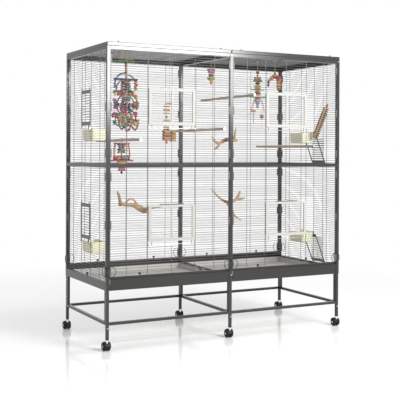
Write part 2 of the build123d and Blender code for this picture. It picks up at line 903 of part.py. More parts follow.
def toy_disc_stack():
    """Discs and half discs on one cord."""
    x = 44
    y = nearest_roof_wire(0)
    hook, top = roof_hook(x, y)
    return [hook] + hanging(x, y, top, [
        (2, 2, 50), (12, 12, 14), (56, 30, 12), (48, 26, 12), (2, 2, 6), (36, 24, 20), (2, 2, 6),
        (54, 28, 12), (40, 24, 16), (18, 14, 14), (3, 3, 16),
    ])


def toy_stick_mobile():
    """Cross sticks on a beaded cord, with beads hung from the lower sticks."""
    x = 441
    y = nearest_roof_wire(85)
    hook, top = roof_hook(x, y)
    items = [
        (2, 2, 52), (24, 24, 22), (16, 16, 16), (44, 20, 26), (72, 12, 8), (38, 22, 22), (56, 20, 26),
        (104, 12, 8), (50, 24, 34), (2, 2, 8), (124, 12, 8), (34, 20, 20), (44, 22, 32), (20, 12, 18),
    ]
    solids = [hook] + hanging(x, y, top, items)
    stick_foot = top - sum(item[2] for item in items[:11])
    solids += hanging(x - 30, y, stick_foot, [(2, 2, 82), (30, 16, 14), (2, 2, 70)])
    solids += hanging(x + 34, y, stick_foot, [(2, 2, 108), (30, 24, 30), (2, 2, 40)])
    return solids


def toy_bead_arch():
    """An arch of beads on a stiff wire, both legs hanging."""
    x = 504
    y = nearest_roof_wire(-33)
    hook, top = roof_hook(x, y)
    solids = [hook] + hanging(x, y, top, [(2, 2, 44), (18, 16, 40), (30, 20, 26)])
    solids += hanging(x - 28, y, top - 96, [(26, 22, 26)])
    solids += hanging(x - 50, y, top - 112, [(18, 20, 30), (12, 16, 22)])
    solids += hanging(x + 28, y, top - 96, [(26, 22, 26), (22, 20, 56)])
    return solids


def build():
    nodes = {
        "posts": posts(0) + posts(1),
        "top_rails": level_rails(top_rail_bottom, tube, True),
        "mid_rails": level_rails(mid_rail_bottom, tube, False),
        "rail_plugs": rail_plugs(),
        "roof_frames": roof_frames(),
        "roof_grilles": roof_grilles(),
        "base_rails": base_rails(),
        "sills": sills(),
        "back_fascias": back_fascias(),
        "drawer_left": drawer(bay_centres[0]),
        "drawer_right": drawer(bay_centres[1]),
        "stand_legs": stand_legs(),
        "stand_struts": stand_struts(),
        "stand_stretchers": stand_stretchers(),
        "panel_clips": panel_clips(),
        "clip_rings": clip_rings(),
        "thumb_screws": thumb_screws(),
        "frame_bolts": frame_bolts(),
        "perches": perches(),
        "perch_screws": perch_screws(),
        "branches": branches(),
        "woven_tube": woven_tube(),
        "toy_block_tower": toy_block_tower(),
        "toy_block_drop": toy_block_drop(),
        "toy_wood_stack": toy_wood_stack(),
        "toy_disc_stack": toy_disc_stack(),
        "toy_stick_mobile": toy_stick_mobile(),
        "toy_bead_arch": toy_bead_arch(),
    }
    nodes.update(wall_grilles())
    bars = []
    for level, sill in opening_levels.items():
        for name, middle in zip(("left", "right"), bay_centres):
            plane = wall_plane("front", middle)
            nodes[f"door_{name}_{level}"] = placed(plane, front_door(sill))
            bars += placed(plane, hinge_bar(bay_uprights[3] - 1.0, sill))
        for name in ("left", "right"):
            plane = wall_plane(name)
            angle = hatch_open_angle if name == "right" else 0.0
            flap = opened(side_hatch(sill), sill, angle)
            nodes[f"hatch_{name}_{level}"] = placed(plane, flap)
            bars += placed(plane, hinge_bar(side_uprights[2] - 1.0, sill))
            row = hang_row(panel_tops[level], sill)
            nodes[f"bowl_{name}_{level}"] = placed(plane, side_bowl(row))
    nodes["hinge_bars"] = bars
    sockets = []
    for row_name, row in zip(("front", "back"), post_rows):
        for column_name, column in zip(("left", "middle", "right"), post_columns):
            spot = Pos(column, row, 0)
            key = f"{row_name}_{column_name}"
            nodes[f"caster_fork_{key}"] = [spot * caster_fork()]
            nodes[f"caster_wheels_{key}"] = [spot * wheel for wheel in caster_wheels()]
            z = (caster_height - socket_height, caster_height)
            plate = block(centred(0, leg_tube), centred(0, leg_tube), z)
            hole = Pos(0, 0, caster_height) * bore(stem_radius + 0.05, 4 * socket_height)
            sockets.append(spot * (plate - hole))
    nodes["caster_sockets"] = sockets
    return nodes


os.makedirs("parts", exist_ok=True)
for node_name, solids in build().items():
    shape = solids[0] if len(solids) == 1 else Compound(solids)
    export_step(shape, f"parts/{node_name}.step")
    print(node_name, len(solids))
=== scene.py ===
# %% [markdown]
# Rolling bird aviary. The CAD model gives every solid its place. Here each of them gets
# its finish, and what the CAD keeps plain, such as three-sided wires, block toys and
# five-sided branches, is made again with the roundness of the real thing.

# %% Load the fixed frame
import json
import math
import random

import bmesh
import bpy
from mathutils import Matrix, Vector


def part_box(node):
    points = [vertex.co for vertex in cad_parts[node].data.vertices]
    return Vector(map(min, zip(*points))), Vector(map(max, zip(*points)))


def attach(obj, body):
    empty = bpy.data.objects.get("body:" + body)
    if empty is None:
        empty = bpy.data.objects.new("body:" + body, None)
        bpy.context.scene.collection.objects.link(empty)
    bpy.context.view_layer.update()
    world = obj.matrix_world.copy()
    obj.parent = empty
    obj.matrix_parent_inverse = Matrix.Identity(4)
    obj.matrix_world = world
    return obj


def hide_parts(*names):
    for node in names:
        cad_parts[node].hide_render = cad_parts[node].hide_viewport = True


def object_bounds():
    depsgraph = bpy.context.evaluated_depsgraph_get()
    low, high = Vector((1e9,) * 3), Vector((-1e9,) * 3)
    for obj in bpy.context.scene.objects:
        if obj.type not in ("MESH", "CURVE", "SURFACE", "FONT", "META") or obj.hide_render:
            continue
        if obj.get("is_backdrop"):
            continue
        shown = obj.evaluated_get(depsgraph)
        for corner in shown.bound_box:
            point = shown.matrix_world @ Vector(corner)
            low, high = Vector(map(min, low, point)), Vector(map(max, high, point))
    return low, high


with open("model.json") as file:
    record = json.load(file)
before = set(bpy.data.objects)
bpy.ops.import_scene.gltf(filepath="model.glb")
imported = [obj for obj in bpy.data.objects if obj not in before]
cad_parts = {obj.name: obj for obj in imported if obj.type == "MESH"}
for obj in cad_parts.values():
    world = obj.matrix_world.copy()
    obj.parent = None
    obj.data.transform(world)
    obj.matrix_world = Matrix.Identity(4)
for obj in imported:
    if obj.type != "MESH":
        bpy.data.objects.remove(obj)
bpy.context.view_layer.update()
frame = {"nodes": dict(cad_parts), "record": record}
nodes = frame["nodes"]
body_of_node = {
    name: body for body, names in frame["record"]["behaviour"]["bodies"].items() for name in names
}

# %% [markdown]
# The camera comes first, because everything is judged through it. It stands left of the
# middle, a little higher than the middle rails. A level camera with a vertical shift keeps
# the posts parallel, as a view camera does, so that is used instead of tilting it.

# %% Camera
CAMERA_PLACE = (-2.563, -4.7935, 1.11)
CAMERA_YAW = math.radians(-27.84)
CAMERA_ROLL = math.radians(0.26)


def placed(name, data):
    """A new object in the scene."""
    made = bpy.data.objects.new(name, data)
    bpy.context.scene.collection.objects.link(made)
    return made


camera_data = bpy.data.cameras.new("camera")
camera_data.sensor_width = 36.0
camera_data.lens = 77.46
camera_data.shift_y = -0.1205
camera = placed("camera", camera_data)
camera.location = CAMERA_PLACE
straight = Matrix.Rotation(CAMERA_YAW, 4, "Z") @ Matrix.Rotation(math.radians(90), 4, "X")
camera.rotation_euler = (straight @ Matrix.Rotation(CAMERA_ROLL, 4, "Z")).to_euler()
bpy.context.scene.camera = camera
bpy.context.scene.view_settings.view_transform = "Standard"

# %% [markdown]
# A material is a small graph of nodes. These helpers add a node and fill its inputs, each
# with a value or from another node's output, so that the finishes below read as short lists.

# %% Node helpers
FLOAT, COLOUR, VECTOR = "NodeSocketFloat", "NodeSocketColor", "NodeSocketVector"


def feed(node, values):
    """Fills inputs, by name or by number, with a value or from a (node, output) pair."""
    for key, value in values.items():
        if isinstance(value, tuple) and isinstance(value[0], bpy.types.Node):
            start, output = value
            node.id_data.links.new(start.outputs[output], node.inputs[key])
        else:
            node.inputs[key].default_value = value


def add(tree, kind, values=None, **settings):
    """Adds a shader node with its settings and fills its inputs. The two end nodes of a
    group have names of their own, and all other kinds leave out ShaderNode."""
    node = tree.nodes.new(kind if kind.startswith("NodeGroup") else f"ShaderNode{kind}")
    for key, value in settings.items():
        setattr(node, key, value)
    feed(node, values or {})
    return node


def new_group(name, inputs):
    """A shader group that gives a colour, a roughness and a normal, and its two end nodes."""
    tree = bpy.data.node_groups.new(name, "ShaderNodeTree")
    for socket, kind, value in inputs:
        made = tree.interface.new_socket(name=socket, in_out="INPUT", socket_type=kind)
        made.default_value = value
    for socket, kind in (("Color", COLOUR), ("Roughness", FLOAT), ("Normal", VECTOR)):
        tree.interface.new_socket(name=socket, in_out="OUTPUT", socket_type=kind)
    return tree, add(tree, "NodeGroupInput"), add(tree, "NodeGroupOutput")


# %% [markdown]
# Powder coat is a paint that melts onto the metal. Close up it has a fine orange-peel
# ripple, and from further off the sheen drifts a little from place to place. Both come
# from noise on object coordinates: a fine one as bump, a broad one on colour and gloss.

# %% Shared effect: ripple and drift
coat, coat_in, coat_out = new_group("ripple_and_drift", [
    ("Color", COLOUR, (0.1, 0.1, 0.1, 1)), ("Roughness", FLOAT, 0.4), ("Drift", FLOAT, 0.1),
    ("Grain", FLOAT, 700.0), ("Depth", FLOAT, 0.00004),
])
where = add(coat, "TexCoord")
broad = add(coat, "TexNoise", {
    "Vector": (where, "Object"), "Scale": 4.0, "Detail": 3.0})
fine = add(coat, "TexNoise", {
    "Vector": (where, "Object"), "Scale": (coat_in, "Grain"), "Detail": 2.0})
centred = add(coat, "Math", {0: (broad, "Fac"), 1: 0.5}, operation="SUBTRACT")
swing = add(coat, "Math", {0: (centred, 0), 1: (coat_in, "Drift")},
            operation="MULTIPLY")
rougher = add(coat, "Math", {0: (coat_in, "Roughness"), 1: (swing, 0)},
              operation="ADD")
brighter = add(coat, "Math", {0: (swing, 0), 1: 1.0}, operation="ADD")
shade = add(coat, "VectorMath", {0: (coat_in, "Color"), "Scale": (brighter, 0)},
            operation="SCALE")
bump = add(coat, "Bump", {
    "Height": (fine, "Fac"), "Distance": (coat_in, "Depth"), "Strength": 0.5})
feed(coat_out, {"Color": (shade, 0), "Roughness": (rougher, 0), "Normal": (bump, "Normal")})

# %% [markdown]
# Wood has long fibres: noise that is stretched along the grain. The material hands the
# group coordinates that are already stretched, so that one group serves dowels, branches
# and blocks. Light and Dark are the colours of the wood between the fibres and in them.

# %% Shared effect: wood grain
wood, wood_in, wood_out = new_group("wood_grain", [
    ("Vector", VECTOR, (0, 0, 0)), ("Light", COLOUR, (0.6, 0.5, 0.4, 1)),
    ("Dark", COLOUR, (0.4, 0.3, 0.2, 1)), ("Scale", FLOAT, 120.0), ("Depth", FLOAT, 0.0003),
])
fibres = add(wood, "TexNoise", {
    "Vector": (wood_in, "Vector"), "Scale": (wood_in, "Scale"), "Detail": 4.0,
    "Roughness": 0.6, "Distortion": 0.4})
spread = add(wood, "MapRange", {
    "Value": (fibres, "Fac"), "From Min": 0.32, "From Max": 0.68})
tone = add(wood, "Mix", {
    0: (spread, "Result"), 6: (wood_in, "Light"), 7: (wood_in, "Dark")}, data_type="RGBA")
dull = add(wood, "MapRange", {
    "Value": (fibres, "Fac"), "To Min": 0.48, "To Max": 0.75})
ridges = add(wood, "Bump", {
    "Height": (fibres, "Fac"), "Distance": (wood_in, "Depth"), "Strength": 0.6})
feed(wood_out, {
    "Color": (tone, 2), "Roughness": (dull, "Result"), "Normal": (ridges, "Normal")})

# %% [markdown]
# Each finish is a Principled BSDF with one of the groups in front of it. Numbers that are
# the same all over the surface stay on the shader's own sockets.

# %% Material makers
FIBRE_STRETCH = 0.06


def principled(name, **values):
    material = bpy.data.materials.new(name)
    material.use_nodes = True
    shader = material.node_tree.nodes["Principled BSDF"]
    feed(shader, {key.replace("_", " "): value for key, value in values.items()})
    return material, shader


def fronted(name, group, inputs, **values):
    """A material with a group in front of its shader, and the group's node."""
    material, shader = principled(name, **values)
    effect = add(material.node_tree, "Group", inputs, node_tree=group)
    feed(shader, {"Base Color": (effect, "Color"), "Roughness": (effect, "Roughness"),
                  "Normal": (effect, "Normal")})
    return material, effect


def coated(name, colour, roughness, drift=0.08, grain=700.0, depth=0.00004, **values):
    """Paint, plastic or plain metal."""
    inputs = {"Color": (*colour, 1), "Roughness": roughness, "Drift": drift, "Grain": grain,
              "Depth": depth}
    return fronted(name, coat, inputs, **values)[0]


def wooden(name, light, dark, along="x", scale=110.0, depth=0.0003):
    """Wood whose grain runs along the x or the y axis."""
    inputs = {"Light": (*light, 1), "Dark": (*dark, 1), "Scale": scale, "Depth": depth}
    material, effect = fronted(name, wood, inputs)
    tree = material.node_tree
    stretch = (FIBRE_STRETCH, 1, 1) if along == "x" else (1, FIBRE_STRETCH, 1)
    place = add(tree, "TexCoord")
    turned = add(tree, "Mapping", {"Vector": (place, "Object"), "Scale": stretch})
    feed(effect, {"Vector": (turned, "Vector")})
    return material


# %% [markdown]
# The frame is a dark grey coat with a little metal flake in it, so it is partly metallic.
# The wires carry the same kind of coat, but paler. The doors are pale moulded plastic and
# the bowls are a creamy one. The caster wheels are black, with a bright plated neck.

# %% Finishes
steel = coated("frame_coat", (0.038, 0.038, 0.037), 0.2, depth=0.000008, Metallic=0.4)
sheet = coated("sheet_coat", (0.026, 0.025, 0.024), 0.32, depth=0.00001, Metallic=0.3)
wire_coat = coated("wire_coat", (0.12, 0.12, 0.118), 0.26, drift=0.05, Metallic=0.5)
pan_coat = coated("pan_coat", (0.48, 0.465, 0.44), 0.5, drift=0.15, Metallic=0.1)
clip_plastic = coated("clip_plastic", (0.075, 0.075, 0.073), 0.45)
black_plastic = coated("black_plastic", (0.012, 0.012, 0.013), 0.4, Specular_IOR_Level=0.2)
wheel_tread = coated("wheel_tread", (0.008, 0.008, 0.008), 0.35, grain=350.0,
                     Specular_IOR_Level=0.2)
chrome = coated("bright_plating", (0.82, 0.82, 0.82), 0.12, drift=0.02, Metallic=1.0)
zinc = coated("zinc_plating", (0.45, 0.45, 0.44), 0.32, drift=0.1, Metallic=1.0)
door_plastic = coated("door_plastic", (0.36, 0.355, 0.33), 0.5, drift=0.04, grain=400.0)
hatch_coat = coated("hatch_coat", (0.08, 0.08, 0.079), 0.35, Metallic=0.4)
bowl_plastic = coated("bowl_plastic", (0.8, 0.8, 0.6), 0.35, drift=0.04, grain=300.0,
                      Subsurface_Weight=0.12, Subsurface_Scale=0.004)
dowel = wooden("dowel_wood", (0.53, 0.43, 0.33), (0.4, 0.31, 0.23), "y")
branch_bark = wooden("branch_bark", (0.5, 0.33, 0.19), (0.2, 0.12, 0.07), scale=90.0,
                     depth=0.0012)
rope = coated("toy_string", (0.5, 0.38, 0.24), 0.8, grain=900.0, depth=0.0004)

# %% [markdown]
# Toys are strung from dyed wood in strong plain colours. Each dye is the same wood under
# another tint, with the darker fibres taken as a fixed share of it.

# %% Dyed woods
DYE_LIGHT = 0.62
DYE_DARK = 0.32
dyes = {
    "red": (0.62, 0.03, 0.03), "orange": (0.85, 0.25, 0.03), "yellow": (0.85, 0.58, 0.05),
    "olive": (0.45, 0.42, 0.06), "green": (0.05, 0.3, 0.08), "teal": (0.02, 0.27, 0.27),
    "navy": (0.02, 0.03, 0.12), "purple": (0.16, 0.04, 0.2), "magenta": (0.72, 0.02, 0.2),
    "pink": (0.8, 0.3, 0.35), "salmon": (0.8, 0.36, 0.24), "tan": (0.62, 0.4, 0.2),
    "brown": (0.2, 0.08, 0.04), "white": (0.8, 0.78, 0.74), "blue": (0.25, 0.42, 0.65),
    "lime": (0.3, 0.6, 0.15), "black": (0.02, 0.02, 0.02),
}
dyed = {
    name: wooden(f"dyed_{name}", [DYE_LIGHT * v for v in tint], [DYE_DARK * v for v in tint],
                 scale=160.0)
    for name, tint in dyes.items()
}
print(len(dyed), "dyes")

# %% [markdown]
# The next helpers turn a CAD solid into a piece with softened edges. A copy of the node is
# merged, its flat faces are dissolved back into whole ones, and every sharp edge gets a
# small bevel. That is how bent sheet and square tube catch a thin line of light.

# %% Mesh helpers
MERGE_DISTANCE = 2e-6
FLAT_ANGLE = 0.02
SHARP_ANGLE = 0.6
SMALL_FACE = 4e-6


def cad_copy(name):
    """A merged copy of a CAD node's mesh."""
    shape = bmesh.new()
    shape.from_mesh(nodes[name].data)
    bmesh.ops.remove_doubles(shape, verts=shape.verts, dist=MERGE_DISTANCE)
    return shape


def islands(shape):
    """The separate solids in a mesh, as lists of vertices in their first order."""
    shape.verts.ensure_lookup_table()
    seen = set()
    found = []
    for start in shape.verts:
        if start in seen:
            continue
        seen.add(start)
        stack = [start]
        members = []
        while stack:
            vert = stack.pop()
            members.append(vert)
            for edge in vert.link_edges:
                other = edge.other_vert(vert)
                if other not in seen:
                    seen.add(other)
                    stack.append(other)
        found.append(members)
    return found


def box_of(verts):
    low = Vector([min(v.co[i] for v in verts) for i in range(3)])
    high = Vector([max(v.co[i] for v in verts) for i in range(3)])
    return low, high


def solid_boxes(node):
    """The box of each solid in a CAD node, in their first order."""
    source = cad_copy(node)
    boxes = [box_of(verts) for verts in islands(source)]
    source.free()
    return boxes


def face_out(shape):
    bmesh.ops.recalc_face_normals(shape, faces=shape.faces)


def pour(part, shape):
    """Adds one mesh under construction to another, and frees it."""
    carrier = bpy.data.meshes.new("carrier")
    part.to_mesh(carrier)
    part.free()
    shape.from_mesh(carrier)
    bpy.data.meshes.remove(carrier)


def round_edges(shape, edges, radius, segments=2, clamp=True):
    """Bevels edges and returns the new faces."""
    return bmesh.ops.bevel(shape, geom=edges, offset=radius, segments=segments, profile=0.5,
                           affect="EDGES", clamp_overlap=clamp, material=-1)["faces"]


def soften(shape, radius, segments=2):
    """Dissolves the triangles of flat faces and bevels what is left sharp."""
    bmesh.ops.dissolve_limit(shape, angle_limit=FLAT_ANGLE, verts=shape.verts, edges=shape.edges)
    sharp = [e for e in shape.edges
             if len(e.link_faces) == 2 and e.calc_face_angle() > SHARP_ANGLE]
    rounded = set(round_edges(shape, sharp, radius, segments))
    for face in shape.faces:
        face.smooth = face in rounded or face.calc_area() < SMALL_FACE


def piece(node, shape, materials, crease=0.7):
    """Makes an object that stands for a CAD node, hangs it on its body and hides the node. A
    crease of 0 keeps the shading that the faces have, and any other one smooths all edges
    that turn less than it."""
    for face in shape.faces:
        face.smooth = face.smooth or crease > 0
    for edge in shape.edges if crease else ():
        if len(edge.link_faces) == 2 and edge.calc_face_angle() > crease:
            edge.smooth = False
    mesh = bpy.data.meshes.new(f"{node}_shown")
    shape.to_mesh(mesh)
    shape.free()
    for material in materials:
        mesh.materials.append(material)
    made = placed(f"{node}_shown", mesh)
    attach(made, body_of_node[node])
    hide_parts(node)
    return made


def softened(node, material, radius, segments=2):
    """A CAD node with the same shape and softened edges."""
    shape = cad_copy(node)
    soften(shape, radius, segments)
    piece(node, shape, [material], crease=0)


# %% [markdown]
# The square tubes are the same everywhere: outer corners of a little over a millimetre. The
# roof frame is rounder. The plugs lie inside the tubes, so the CAD ones are only coloured.

# %% Tubes, rails and sheet
for name in ("posts", "top_rails", "mid_rails", "base_rails", "stand_legs", "stand_struts",
             "stand_stretchers"):
    softened(name, steel, 0.0012)
softened("roof_frames", steel, 0.0022, 3)
for name, material, radius in (
        ("sills", steel, 0.0008), ("back_fascias", sheet, 0.0006), ("frame_bolts", zinc, 0.0008),
        ("perch_screws", zinc, 0.0008), ("caster_sockets", chrome, 0.0005)):
    softened(name, material, radius)
nodes["rail_plugs"].data.materials.clear()
nodes["rail_plugs"].data.materials.append(black_plastic)

# %% [markdown]
# A panel clip grips the edge wire and lies against the post. Seen from the front only a
# narrow lip shows beside the post, so the plate of each CAD clip is taken in to that lip.

# %% Panel clips
CLIP_WIDTH = 0.014
CLIP_LIP = 0.009
clips = cad_copy("panel_clips")
for verts in islands(clips):
    low, high = box_of(verts)
    across = min((0, 1), key=lambda i: abs(high[i] - low[i] - CLIP_WIDTH))
    centre = sum(v.co[across] for v in verts) / len(verts)
    at_low = centre < (low[across] + high[across]) / 2
    for vert in verts:
        if at_low:
            vert.co[across] = min(vert.co[across], low[across] + CLIP_LIP)
        else:
            vert.co[across] = max(vert.co[across], high[across] - CLIP_LIP)
soften(clips, 0.0011)
piece("panel_clips", clips, [clip_plastic], crease=0)

# %% [markdown]
# A drawer is one folded part, but its two sides look different: the front is coated like
# the frame and the pan behind it is a paler, worn sheet. The pan's faces take a second
# material by their place.

# %% Drawers
FRONT_DEPTH = 0.0022
for side in ("left", "right"):
    name = f"drawer_{side}"
    shape = cad_copy(name)
    soften(shape, 0.0006)
    pan_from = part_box(name)[0].y + FRONT_DEPTH
    for face in shape.faces:
        face.material_index = 1 if face.calc_center_median().y > pan_from else 0
    piece(name, shape, [sheet, pan_coat], crease=0)

# %% [markdown]
# The CAD wires are three-sided prisms, because there are nearly a thousand of them. Each is
# an island of six vertices, so its middle line can be read off it: the ends lie along its
# longest direction, and the centroid sits where the round wire's middle is. The prism has
# the section area of the round wire, so its side is 1.3468 diameters long. A cone with equal
# radii gives the round bar, and eight sides are enough for two millimetres.

# %% Round wires
PRISM_VERTS = 6
PRISM_SIDE = 1.3468
ALONG = (Matrix.Rotation(math.pi / 2, 4, "Y"), Matrix.Rotation(math.pi / 2, 4, "X"),
         Matrix.Identity(4))


def rod(shape, middle, axis, radius, length, sides):
    """Adds a round bar along axis 0, 1 or 2 and returns its vertices."""
    return bmesh.ops.create_cone(
        shape, cap_ends=True, segments=sides, radius1=radius, radius2=radius, depth=length,
        matrix=Matrix.Translation(middle) @ ALONG[axis])["verts"]


def round_wire(shape, verts):
    """Adds a round bar in place of one three-sided prism."""
    low, high = box_of(verts)
    size = high - low
    axis = max(range(3), key=lambda i: size[i])
    middle = sum((v.co for v in verts), Vector()) / len(verts)
    middle[axis] = (low[axis] + high[axis]) / 2
    width = max(size[i] for i in range(3) if i != axis)
    rod(shape, middle, axis, width / PRISM_SIDE / 2, size[axis], 8)


wire_count = 0
for name in [n for n in nodes if n.startswith("grille") or n == "roof_grilles"]:
    source = cad_copy(name)
    panel = bmesh.new()
    for verts in islands(source):
        round_wire(panel, verts)
        wire_count += 1
    source.free()
    piece(name, panel, [wire_coat], crease=1.2)
print(wire_count, "round wires")

# %% [markdown]
# Doors and hatches mix both: wires of six vertices, and moulded or welded frames that get
# softened edges. They are split by counting vertices, and their materials by counting faces:
# but for a few, those of the rods come first. A hatch gets fewer and thicker rungs than it
# has wires. The latch bar on a door is a low solid at its very top.

# %% Doors and hatches
RUNG_RADIUS = 0.002
BAR_HEIGHT = 0.008


def framed_flap(name, frame_material, rod_material, bar_material, radius, rungs=0):
    source = cad_copy(name)
    flap = bmesh.new()
    wires = [verts for verts in islands(source) if len(verts) <= PRISM_VERTS]
    if rungs:
        boxes = [box_of(verts) for verts in wires]
        rung_low = min(low.z for low, high in boxes)
        rung_high = max(high.z for low, high in boxes)
        low, high = boxes[0]
        for i in range(rungs):
            middle = (low + high) / 2
            middle.z = rung_low + (rung_high - rung_low) * (i + 0.5) / rungs
            rod(flap, middle, 1, RUNG_RADIUS, high.y - low.y, 10)
    else:
        for verts in wires:
            round_wire(flap, verts)
    rod_faces = len(flap.faces)
    for face in flap.faces:
        face.smooth = len(face.verts) == 4
    bmesh.ops.delete(source, geom=[v for verts in wires for v in verts], context="VERTS")
    soften(source, radius)
    top = max(v.co.z for v in source.verts)
    pour(source, flap)
    for number, face in enumerate(flap.faces):
        face.material_index = 0 if number < rod_faces else 1
    if bar_material:
        for verts in islands(flap):
            low, high = box_of(verts)
            if high.z > top - 0.001 and high.z - low.z < BAR_HEIGHT:
                for face in {face for vert in verts for face in vert.link_faces}:
                    face.material_index = 2
    bars = [bar_material] if bar_material else []
    piece(name, flap, [rod_material, frame_material] + bars, crease=0)


for level in ("lower", "upper"):
    for side in ("left", "right"):
        bar = clip_plastic if level == "lower" else door_plastic
        framed_flap(f"door_{side}_{level}", door_plastic, wire_coat, bar, 0.0012)
        framed_flap(f"hatch_{side}_{level}", hatch_coat, hatch_coat, None, 0.0008, 10)
softened("hinge_bars", zinc, 0.0004)

# %% [markdown]
# The bowls are moulded tubs with rounded corners, a taper and a thin rim. A cube is scaled
# to the rim, its upright edges are bevelled, the foot is drawn in, the top is opened, and
# the wall comes from solidify, which keeps one thickness round the corners. The hooks are
# cut from the CAD bowl, by a plane close to its outer end.

# %% Bowls
BOWL_REACH, BOWL_LENGTH, BOWL_DEPTH = 0.092, 0.16, 0.068
BOWL_CORNER = 0.014
BOWL_HEEL = 0.007
BOWL_WALL = 0.0025
BOWL_LIP = 0.0004


def bowl(name):
    low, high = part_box(name)
    side = -1 if high.x < 0 else 1
    inner = high.x if side < 0 else low.x
    middle = Vector((inner + side * BOWL_REACH / 2, 0, high.z - BOWL_DEPTH / 2))
    tub = bmesh.new()
    size = Matrix.Diagonal((BOWL_REACH, BOWL_LENGTH, BOWL_DEPTH, 1))
    bmesh.ops.create_cube(tub, size=1.0, matrix=Matrix.Translation(middle) @ size)
    upright = [e for e in tub.edges if abs(e.verts[0].co.z - e.verts[1].co.z) > 0.01]
    round_edges(tub, upright, BOWL_CORNER, 5, clamp=False)
    foot = [v for v in tub.verts if v.co.z < middle.z]
    bmesh.ops.scale(tub, vec=(0.92, 0.95, 1), verts=foot, space=Matrix.Translation(-middle))
    lid = [f for f in tub.faces if f.normal.z > 0.9]
    bmesh.ops.delete(tub, geom=lid, context="FACES")
    heel_z = middle.z - BOWL_DEPTH * 0.45
    heel = [e for e in tub.edges if all(v.co.z < heel_z for v in e.verts)]
    round_edges(tub, heel, BOWL_HEEL, 3, clamp=False)
    face_out(tub)
    bmesh.ops.solidify(tub, geom=tub.faces, thickness=BOWL_WALL)
    rim = [f for f in tub.faces if f.calc_center_median().z > high.z - 0.0005]
    bmesh.ops.inset_region(tub, faces=rim, thickness=BOWL_LIP)
    source = cad_copy(name)
    cut = inner + side * (BOWL_REACH - 0.0005)
    bmesh.ops.bisect_plane(source, geom=source.verts[:] + source.edges[:] + source.faces[:],
                           plane_co=(cut, 0, 0), plane_no=(-side, 0, 0), clear_outer=True)
    pour(source, tub)
    piece(name, tub, [bowl_plastic])


for level in ("lower", "upper"):
    for side in ("left", "right"):
        bowl(f"bowl_{side}_{level}")

# %% [markdown]
# A twin-wheel caster has a black hood over two wheels on one axle. A wheel is a shape of
# revolution: its half section is a few vertices, spun round the axle, and a bright cap sits
# on its hub. The hood is a short drum cut by two planes, with a wall from solidify. A web
# stands between the wheels, and the neck is spun round the swivel pin.

# %% Casters
def spun(shape, profile, middle, axis, steps=32, closed=True):
    """Spins an outline of (along, radius) points round an axis through middle."""
    axis = Vector(axis)
    across = axis.orthogonal().normalized()
    verts = [shape.verts.new(middle + axis * along + across * radius) for along, radius in profile]
    count = len(verts) if closed else len(verts) - 1
    edges = [shape.edges.new((verts[i], verts[(i + 1) % len(verts)])) for i in range(count)]
    bmesh.ops.spin(shape, geom=verts + edges, cent=middle, axis=axis, angle=2 * math.pi,
                   steps=steps, use_merge=True, use_duplicate=False)


WHEEL_OUTLINE = [(-0.0094, 0.0024), (-0.0094, 0.0238), (-0.0084, 0.0249), (-0.001, 0.0249),
                 (0.003, 0.024), (0.006, 0.0218), (0.0082, 0.0185), (0.0094, 0.0145),
                 (0.0094, 0.0095), (0.007, 0.0085), (0.0066, 0.006), (0.0084, 0.0048),
                 (0.0084, 0.0024)]
HOOD_OUTLINE = [(-0.0226, 0.0205), (-0.02, 0.0242), (-0.017, 0.0264), (-0.013, 0.0274),
                (0.013, 0.0274), (0.017, 0.0264), (0.02, 0.0242), (0.0226, 0.0205)]
CAP_OUTLINE = [(0.0066, 0.0003), (0.0066, 0.0056), (0.0088, 0.0056), (0.0096, 0.0044),
               (0.0096, 0.0003)]
NECK_OUTLINE = [(-0.0215, 0.0005), (-0.0215, 0.0072), (-0.0175, 0.0085), (-0.0165, 0.0085),
                (-0.0125, 0.006), (-0.0055, 0.006), (-0.0045, 0.0078), (-0.0003, 0.0078),
                (-0.0003, 0.0005)]
WHEEL_OFFSET = 0.014
PIN_OFFSET = -0.013
NECK_TOP = 0.0567
HOOD_WALL = 0.0014
HOOD_LOW = 0.035
HOOD_BACK = 0.021
WEB_LOW = 0.021


def bright_rest(shape, black_faces):
    """Gives the second material to all faces but the black ones."""
    for face in shape.faces:
        if face not in black_faces:
            face.material_index = 1


def cut_off(shape, geometry, spot, away):
    """Clears what lies beyond a plane and returns what the cut made."""
    return bmesh.ops.bisect_plane(shape, geom=geometry, plane_co=spot, plane_no=away,
                                  clear_outer=True)["geom_cut"]


